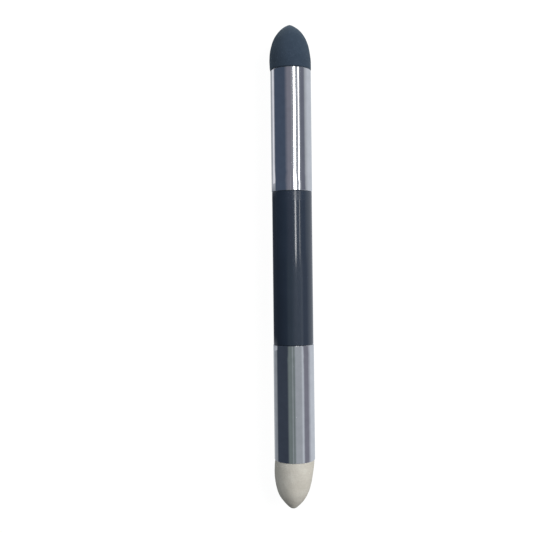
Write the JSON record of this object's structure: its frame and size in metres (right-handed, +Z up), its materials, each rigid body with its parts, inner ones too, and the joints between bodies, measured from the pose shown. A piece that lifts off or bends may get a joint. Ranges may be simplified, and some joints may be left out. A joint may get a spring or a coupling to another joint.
{
  "type": "blending stump",
  "caption": "Slim round double-ended blending stump: a dark foam tip and a light foam tip in bright metal ferrules on a glossy black grip sleeve.",
  "frame": {"origin": "on the table the tool lies on, under the middle of its length and under its axis", "axes": "+Y along the tool's axis from the light foam tip to the dark foam tip, +Z up from the table, +X across the tool"},
  "size_m": [0.013, 0.152, 0.013],
  "materials": {
    "black_grip": "gloss",
    "ferrule_metal": "polished",
    "moulded_plastic": "satin",
    "dark_foam": "matte",
    "light_foam": "matte"
  },
  "bodies": {
    "handle": {"grip_sleeve": "black_grip", "dark_end_connector": "moulded_plastic", "light_end_connector": "moulded_plastic", "dark_end_ferrule": "ferrule_metal", "light_end_ferrule": "ferrule_metal", "dark_tip_holder": "moulded_plastic", "light_tip_holder": "moulded_plastic"},
    "dark_tip": {"dark_foam_tip": "dark_foam"},
    "light_tip": {"light_foam_tip": "light_foam"}
  },
  "joints": [
    {"name": "dark_tip_pull", "type": "slide", "parent": "handle", "child": "dark_tip", "axis": [0, 1, 0], "range_m": [0, 0.016]},
    {"name": "light_tip_pull", "type": "slide", "parent": "handle", "child": "light_tip", "axis": [0, -1, 0], "range_m": [0, 0.016]}
  ]
}
